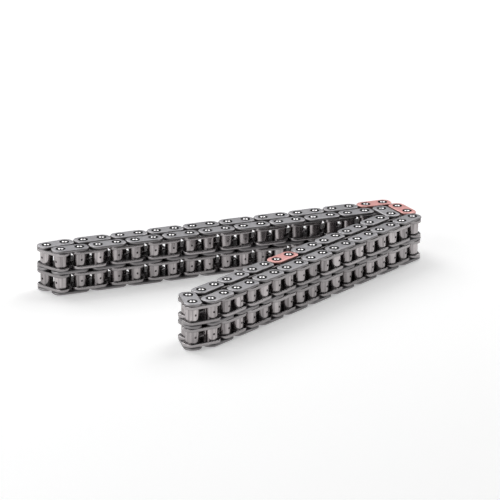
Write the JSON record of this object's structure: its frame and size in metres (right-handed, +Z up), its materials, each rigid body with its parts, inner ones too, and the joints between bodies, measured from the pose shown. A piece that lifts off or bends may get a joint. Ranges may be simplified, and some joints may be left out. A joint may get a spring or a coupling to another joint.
{
  "type": "timing chain",
  "caption": "Duplex bush timing chain: an endless loop of riveted outer and inner links, laid on its side, doubled up and bent into a V, with coloured timing marker plates.",
  "frame": {"origin": "under the middle of the loop's plan, in the plane of the lower pin ends that the chain lies on", "axes": "+X to the right in the picture and along the loop's longer plan side, +Y away from the viewer, +Z up along the pins"},
  "size_m": [0.184, 0.1712, 0.0228],
  "materials": {
    "steel": "tumbled, lightly oiled",
    "marker": "copper coloured, satin"
  },
  "bodies": {
    "left_end_outer_link_2": {"left_end_outer_link_2": "steel"},
    "left_end_inner_link_2": {"left_end_inner_link_2": "steel"},
    "back_outer_run_pair_1": {"back_outer_run_pair_1": "steel"},
    "back_outer_run_pair_2": {"back_outer_run_pair_2": "steel"},
    "back_outer_run_pair_3": {"back_outer_run_pair_3": "steel"},
    "back_outer_run_pair_4": {"back_outer_run_pair_4": "steel"},
    "back_outer_run_pair_5": {"back_outer_run_pair_5": "steel"},
    "back_outer_run_pair_6": {"back_outer_run_pair_6": "steel"},
    "back_outer_run_pair_7": {"back_outer_run_pair_7": "steel"},
    "back_outer_run_pair_8": {"back_outer_run_pair_8": "steel"},
    "crown_outer_link_1": {"crown_outer_link_1": "steel", "marker_plate_1": "marker"},
    "crown_inner_link_1": {"crown_inner_link_1": "steel"},
    "crown_outer_link_2": {"crown_outer_link_2": "steel", "marker_plate_2": "marker"},
    "crown_inner_link_2": {"crown_inner_link_2": "steel"},
    "crown_outer_link_3": {"crown_outer_link_3": "steel"},
    "front_outer_run_pair_1": {"front_outer_run_pair_1": "steel"},
    "front_outer_run_pair_2": {"front_outer_run_pair_2": "steel"},
    "front_outer_run_pair_3": {"front_outer_run_pair_3": "steel"},
    "front_outer_run_pair_4": {"front_outer_run_pair_4": "steel"},
    "front_outer_run_pair_5": {"front_outer_run_pair_5": "steel"},
    "front_outer_run_pair_6": {"front_outer_run_pair_6": "steel"},
    "front_outer_run_pair_7": {"front_outer_run_pair_7": "steel"},
    "front_outer_run_inner_link": {"front_outer_run_inner_link": "steel"},
    "front_end_outer_link_1": {"front_end_outer_link_1": "steel"},
    "front_end_inner_link_1": {"front_end_inner_link_1": "steel"},
    "front_end_outer_link_2": {"front_end_outer_link_2": "steel"},
    "front_end_inner_link_2": {"front_end_inner_link_2": "steel"},
    "front_inner_run_pair_1": {"front_inner_run_pair_1": "steel"},
    "front_inner_run_pair_2": {"front_inner_run_pair_2": "steel"},
    "front_inner_run_pair_3": {"front_inner_run_pair_3": "steel"},
    "front_inner_run_pair_4": {"front_inner_run_pair_4": "steel", "marker_plate_3": "marker"},
    "front_inner_run_pair_5": {"front_inner_run_pair_5": "steel"},
    "front_inner_run_pair_6": {"front_inner_run_pair_6": "steel"},
    "front_inner_run_pair_7": {"front_inner_run_pair_7": "steel"},
    "front_inner_run_outer_link": {"front_inner_run_outer_link": "steel"},
    "inner_corner_inner_link_1": {"inner_corner_inner_link_1": "steel"},
    "inner_corner_outer_link": {"inner_corner_outer_link": "steel"},
    "inner_corner_inner_link_2": {"inner_corner_inner_link_2": "steel"},
    "back_inner_run_pair_1": {"back_inner_run_pair_1": "steel"},
    "back_inner_run_pair_2": {"back_inner_run_pair_2": "steel"},
    "back_inner_run_pair_3": {"back_inner_run_pair_3": "steel"},
    "back_inner_run_pair_4": {"back_inner_run_pair_4": "steel"},
    "back_inner_run_pair_5": {"back_inner_run_pair_5": "steel"},
    "back_inner_run_pair_6": {"back_inner_run_pair_6": "steel"},
    "back_inner_run_pair_7": {"back_inner_run_pair_7": "steel"},
    "back_inner_run_pair_8": {"back_inner_run_pair_8": "steel"},
    "left_end_outer_link_1": {"left_end_outer_link_1": "steel"},
    "left_end_inner_link_1": {"left_end_inner_link_1": "steel"}
  },
  "joints": [
    {"name": "front_strand_swing", "type": "hinge", "parent": "crown_outer_link_2", "child": "crown_inner_link_2", "pos_m": [0.08485, 0.06684, 0], "axis": [0, 0, 1], "range_deg": [-2, 10]},
    {"name": "pivot_23", "type": "hinge", "parent": "crown_inner_link_2", "child": "crown_outer_link_3", "pos_m": [0.08745, 0.05768, 0], "axis": [0, 0, 1], "range_deg": [-2.02, 10.02]},
    {"name": "front_strand_spread", "type": "hinge", "parent": "crown_outer_link_3", "child": "front_outer_run_pair_1", "pos_m": [0.08206, 0.04983, 0], "axis": [0, 0, 1], "range_deg": [0, 15]},
    {"name": "pivot_26", "type": "hinge", "parent": "front_outer_run_pair_1", "child": "front_outer_run_pair_2", "pos_m": [0.07127, 0.03413, 0], "axis": [0, 0, 1], "range_deg": [-4.31, 0.02]},
    {"name": "pivot_28", "type": "hinge", "parent": "front_outer_run_pair_2", "child": "front_outer_run_pair_3", "pos_m": [0.06048, 0.01843, 0], "axis": [0, 0, 1], "range_deg": [-4.31, 0.02]},
    {"name": "pivot_30", "type": "hinge", "parent": "front_outer_run_pair_3", "child": "front_outer_run_pair_4", "pos_m": [0.04969, 0.00273, 0], "axis": [0, 0, 1], "range_deg": [-4.31, 0.02]},
    {"name": "pivot_32", "type": "hinge", "parent": "front_outer_run_pair_4", "child": "front_outer_run_pair_5", "pos_m": [0.0389, -0.01297, 0], "axis": [0, 0, 1], "range_deg": [-4.31, 0.02]},
    {"name": "pivot_34", "type": "hinge", "parent": "front_outer_run_pair_5", "child": "front_outer_run_pair_6", "pos_m": [0.02811, -0.02867, 0], "axis": [0, 0, 1], "range_deg": [-4.31, 0.02]},
    {"name": "pivot_36", "type": "hinge", "parent": "front_outer_run_pair_6", "child": "front_outer_run_pair_7", "pos_m": [0.01732, -0.04437, 0], "axis": [0, 0, 1], "range_deg": [-4.31, 0.02]},
    {"name": "pivot_38", "type": "hinge", "parent": "front_outer_run_pair_7", "child": "front_outer_run_inner_link", "pos_m": [0.00653, -0.06007, 0], "axis": [0, 0, 1], "range_deg": [-4.31, 0.02]},
    {"name": "pivot_39", "type": "hinge", "parent": "front_outer_run_inner_link", "child": "front_end_outer_link_1", "pos_m": [0.00113, -0.06792, 0], "axis": [0, 0, 1], "range_deg": [-0.02, 15.02]},
    {"name": "pivot_40", "type": "hinge", "parent": "front_end_outer_link_1", "child": "front_end_inner_link_1", "pos_m": [-0.00426, -0.07577, 0], "axis": [0, 0, 1], "range_deg": [-20.02, 4.02]},
    {"name": "pivot_41", "type": "hinge", "parent": "front_end_inner_link_1", "child": "front_end_outer_link_2", "pos_m": [-0.0122, -0.08103, 0], "axis": [0, 0, 1], "range_deg": [-2.02, 10.02]},
    {"name": "pivot_42", "type": "hinge", "parent": "front_end_outer_link_2", "child": "front_end_inner_link_2", "pos_m": [-0.01481, -0.07187, 0], "axis": [0, 0, 1], "range_deg": [-2.02, 10.02]},
    {"name": "pivot_43", "type": "hinge", "parent": "front_end_inner_link_2", "child": "front_inner_run_pair_1", "pos_m": [-0.00941, -0.06402, 0], "axis": [0, 0, 1], "range_deg": [-0.02, 15.02]},
    {"name": "pivot_45", "type": "hinge", "parent": "front_inner_run_pair_1", "child": "front_inner_run_pair_2", "pos_m": [0.00138, -0.04832, 0], "axis": [0, 0, 1], "range_deg": [-4.31, 0.02]},
    {"name": "pivot_47", "type": "hinge", "parent": "front_inner_run_pair_2", "child": "front_inner_run_pair_3", "pos_m": [0.01217, -0.03262, 0], "axis": [0, 0, 1], "range_deg": [-4.31, 0.02]},
    {"name": "pivot_49", "type": "hinge", "parent": "front_inner_run_pair_3", "child": "front_inner_run_pair_4", "pos_m": [0.02296, -0.01692, 0], "axis": [0, 0, 1], "range_deg": [-4.31, 0.02]},
    {"name": "pivot_51", "type": "hinge", "parent": "front_inner_run_pair_4", "child": "front_inner_run_pair_5", "pos_m": [0.03375, -0.00122, 0], "axis": [0, 0, 1], "range_deg": [-4.31, 0.02]},
    {"name": "pivot_53", "type": "hinge", "parent": "front_inner_run_pair_5", "child": "front_inner_run_pair_6", "pos_m": [0.04454, 0.01448, 0], "axis": [0, 0, 1], "range_deg": [-4.31, 0.02]},
    {"name": "pivot_55", "type": "hinge", "parent": "front_inner_run_pair_6", "child": "front_inner_run_pair_7", "pos_m": [0.05533, 0.03018, 0], "axis": [0, 0, 1], "range_deg": [-4.31, 0.02]},
    {"name": "pivot_57", "type": "hinge", "parent": "front_inner_run_pair_7", "child": "front_inner_run_outer_link", "pos_m": [0.06612, 0.04588, 0], "axis": [0, 0, 1], "range_deg": [-4.31, 0.02]},
    {"name": "pivot_58", "type": "hinge", "parent": "front_inner_run_outer_link", "child": "inner_corner_inner_link_1", "pos_m": [0.07151, 0.05373, 0], "axis": [0, 0, 1], "range_deg": [-0.02, 15.02]},
    {"name": "pivot_59", "type": "hinge", "parent": "inner_corner_inner_link_1", "child": "inner_corner_outer_link", "pos_m": [0.07691, 0.06158, 0], "axis": [0, 0, 1], "range_deg": [-20.02, 4.02]},
    {"name": "pivot_21", "type": "hinge", "parent": "crown_outer_link_2", "child": "crown_inner_link_1", "pos_m": [0.08009, 0.07509, 0], "axis": [0, 0, -1], "range_deg": [-2.02, 10.02]},
    {"name": "pivot_20", "type": "hinge", "parent": "crown_inner_link_1", "child": "crown_outer_link_1", "pos_m": [0.07263, 0.08102, 0], "axis": [0, 0, -1], "range_deg": [-2.02, 10.02]},
    {"name": "back_strand_spread", "type": "hinge", "parent": "crown_outer_link_1", "child": "back_outer_run_pair_8", "pos_m": [0.06418, 0.07662, 0], "axis": [0, 0, -1], "range_deg": [0, 15]},
    {"name": "pivot_17", "type": "hinge", "parent": "back_outer_run_pair_8", "child": "back_outer_run_pair_7", "pos_m": [0.04729, 0.06782, 0], "axis": [0, 0, -1], "range_deg": [-4.31, 0.02]},
    {"name": "pivot_15", "type": "hinge", "parent": "back_outer_run_pair_7", "child": "back_outer_run_pair_6", "pos_m": [0.03039, 0.05903, 0], "axis": [0, 0, -1], "range_deg": [-4.31, 0.02]},
    {"name": "pivot_13", "type": "hinge", "parent": "back_outer_run_pair_6", "child": "back_outer_run_pair_5", "pos_m": [0.01349, 0.05023, 0], "axis": [0, 0, -1], "range_deg": [-4.31, 0.02]},
    {"name": "pivot_11", "type": "hinge", "parent": "back_outer_run_pair_5", "child": "back_outer_run_pair_4", "pos_m": [-0.00341, 0.04143, 0], "axis": [0, 0, -1], "range_deg": [-4.31, 0.02]},
    {"name": "pivot_09", "type": "hinge", "parent": "back_outer_run_pair_4", "child": "back_outer_run_pair_3", "pos_m": [-0.0203, 0.03264, 0], "axis": [0, 0, -1], "range_deg": [-4.31, 0.02]},
    {"name": "pivot_07", "type": "hinge", "parent": "back_outer_run_pair_3", "child": "back_outer_run_pair_2", "pos_m": [-0.0372, 0.02384, 0], "axis": [0, 0, -1], "range_deg": [-4.31, 0.02]},
    {"name": "pivot_05", "type": "hinge", "parent": "back_outer_run_pair_2", "child": "back_outer_run_pair_1", "pos_m": [-0.0541, 0.01504, 0], "axis": [0, 0, -1], "range_deg": [-4.31, 0.02]},
    {"name": "pivot_03", "type": "hinge", "parent": "back_outer_run_pair_1", "child": "left_end_inner_link_2", "pos_m": [-0.071, 0.00625, 0], "axis": [0, 0, -1], "range_deg": [-0.02, 15.02]},
    {"name": "pivot_02", "type": "hinge", "parent": "left_end_inner_link_2", "child": "left_end_outer_link_2", "pos_m": [-0.07944, 0.00185, 0], "axis": [0, 0, -1], "range_deg": [-20.02, 4.02]},
    {"name": "pivot_01", "type": "hinge", "parent": "left_end_outer_link_2", "child": "left_end_inner_link_1", "pos_m": [-0.08739, -0.00341, 0], "axis": [0, 0, -1], "range_deg": [-2.02, 10.02]},
    {"name": "pivot_78", "type": "hinge", "parent": "left_end_inner_link_1", "child": "left_end_outer_link_1", "pos_m": [-0.07993, -0.00934, 0], "axis": [0, 0, -1], "range_deg": [-2.02, 10.02]},
    {"name": "pivot_77", "type": "hinge", "parent": "left_end_outer_link_1", "child": "back_inner_run_pair_8", "pos_m": [-0.07148, -0.00494, 0], "axis": [0, 0, -1], "range_deg": [-0.02, 15.02]},
    {"name": "pivot_75", "type": "hinge", "parent": "back_inner_run_pair_8", "child": "back_inner_run_pair_7", "pos_m": [-0.05458, 0.00386, 0], "axis": [0, 0, -1], "range_deg": [-4.31, 0.02]},
    {"name": "pivot_73", "type": "hinge", "parent": "back_inner_run_pair_7", "child": "back_inner_run_pair_6", "pos_m": [-0.03769, 0.01265, 0], "axis": [0, 0, -1], "range_deg": [-4.31, 0.02]},
    {"name": "pivot_71", "type": "hinge", "parent": "back_inner_run_pair_6", "child": "back_inner_run_pair_5", "pos_m": [-0.02079, 0.02145, 0], "axis": [0, 0, -1], "range_deg": [-4.31, 0.02]},
    {"name": "pivot_69", "type": "hinge", "parent": "back_inner_run_pair_5", "child": "back_inner_run_pair_4", "pos_m": [-0.00389, 0.03024, 0], "axis": [0, 0, -1], "range_deg": [-4.31, 0.02]},
    {"name": "pivot_67", "type": "hinge", "parent": "back_inner_run_pair_4", "child": "back_inner_run_pair_3", "pos_m": [0.01301, 0.03904, 0], "axis": [0, 0, -1], "range_deg": [-4.31, 0.02]},
    {"name": "pivot_65", "type": "hinge", "parent": "back_inner_run_pair_3", "child": "back_inner_run_pair_2", "pos_m": [0.0299, 0.04784, 0], "axis": [0, 0, -1], "range_deg": [-4.31, 0.02]},
    {"name": "pivot_63", "type": "hinge", "parent": "back_inner_run_pair_2", "child": "back_inner_run_pair_1", "pos_m": [0.0468, 0.05663, 0], "axis": [0, 0, -1], "range_deg": [-4.31, 0.02]},
    {"name": "pivot_61", "type": "hinge", "parent": "back_inner_run_pair_1", "child": "inner_corner_inner_link_2", "pos_m": [0.0637, 0.06543, 0], "axis": [0, 0, -1], "range_deg": [-0.02, 15.02]}
  ],
  "couplings": [
    {"joint": "pivot_23", "follows": "front_strand_swing", "ratio": 1},
    {"joint": "pivot_26", "follows": "front_strand_spread", "ratio": -0.28571},
    {"joint": "pivot_28", "follows": "front_strand_spread", "ratio": -0.28571},
    {"joint": "pivot_30", "follows": "front_strand_spread", "ratio": -0.28571},
    {"joint": "pivot_32", "follows": "front_strand_spread", "ratio": -0.28571},
    {"joint": "pivot_34", "follows": "front_strand_spread", "ratio": -0.28571},
    {"joint": "pivot_36", "follows": "front_strand_spread", "ratio": -0.28571},
    {"joint": "pivot_38", "follows": "front_strand_spread", "ratio": -0.28571},
    {"joint": "pivot_39", "follows": "front_strand_spread", "ratio": 1},
    {"joint": "pivot_40", "follows": "front_strand_swing", "ratio": -2},
    {"joint": "pivot_41", "follows": "front_strand_swing", "ratio": 1},
    {"joint": "pivot_42", "follows": "front_strand_swing", "ratio": 1},
    {"joint": "pivot_43", "follows": "front_strand_spread", "ratio": 1},
    {"joint": "pivot_45", "follows": "front_strand_spread", "ratio": -0.28571},
    {"joint": "pivot_47", "follows": "front_strand_spread", "ratio": -0.28571},
    {"joint": "pivot_49", "follows": "front_strand_spread", "ratio": -0.28571},
    {"joint": "pivot_51", "follows": "front_strand_spread", "ratio": -0.28571},
    {"joint": "pivot_53", "follows": "front_strand_spread", "ratio": -0.28571},
    {"joint": "pivot_55", "follows": "front_strand_spread", "ratio": -0.28571},
    {"joint": "pivot_57", "follows": "front_strand_spread", "ratio": -0.28571},
    {"joint": "pivot_58", "follows": "front_strand_spread", "ratio": 1},
    {"joint": "pivot_59", "follows": "front_strand_swing", "ratio": -2},
    {"joint": "pivot_21", "follows": "front_strand_swing", "ratio": 1},
    {"joint": "pivot_20", "follows": "front_strand_swing", "ratio": 1},
    {"joint": "pivot_17", "follows": "back_strand_spread", "ratio": -0.28571},
    {"joint": "pivot_15", "follows": "back_strand_spread", "ratio": -0.28571},
    {"joint": "pivot_13", "follows": "back_strand_spread", "ratio": -0.28571},
    {"joint": "pivot_11", "follows": "back_strand_spread", "ratio": -0.28571},
    {"joint": "pivot_09", "follows": "back_strand_spread", "ratio": -0.28571},
    {"joint": "pivot_07", "follows": "back_strand_spread", "ratio": -0.28571},
    {"joint": "pivot_05", "follows": "back_strand_spread", "ratio": -0.28571},
    {"joint": "pivot_03", "follows": "back_strand_spread", "ratio": 1},
    {"joint": "pivot_02", "follows": "front_strand_swing", "ratio": -2},
    {"joint": "pivot_01", "follows": "front_strand_swing", "ratio": 1},
    {"joint": "pivot_78", "follows": "front_strand_swing", "ratio": 1},
    {"joint": "pivot_77", "follows": "back_strand_spread", "ratio": 1},
    {"joint": "pivot_75", "follows": "back_strand_spread", "ratio": -0.28571},
    {"joint": "pivot_73", "follows": "back_strand_spread", "ratio": -0.28571},
    {"joint": "pivot_71", "follows": "back_strand_spread", "ratio": -0.28571},
    {"joint": "pivot_69", "follows": "back_strand_spread", "ratio": -0.28571},
    {"joint": "pivot_67", "follows": "back_strand_spread", "ratio": -0.28571},
    {"joint": "pivot_65", "follows": "back_strand_spread", "ratio": -0.28571},
    {"joint": "pivot_63", "follows": "back_strand_spread", "ratio": -0.28571},
    {"joint": "pivot_61", "follows": "back_strand_spread", "ratio": 1}
  ]
}
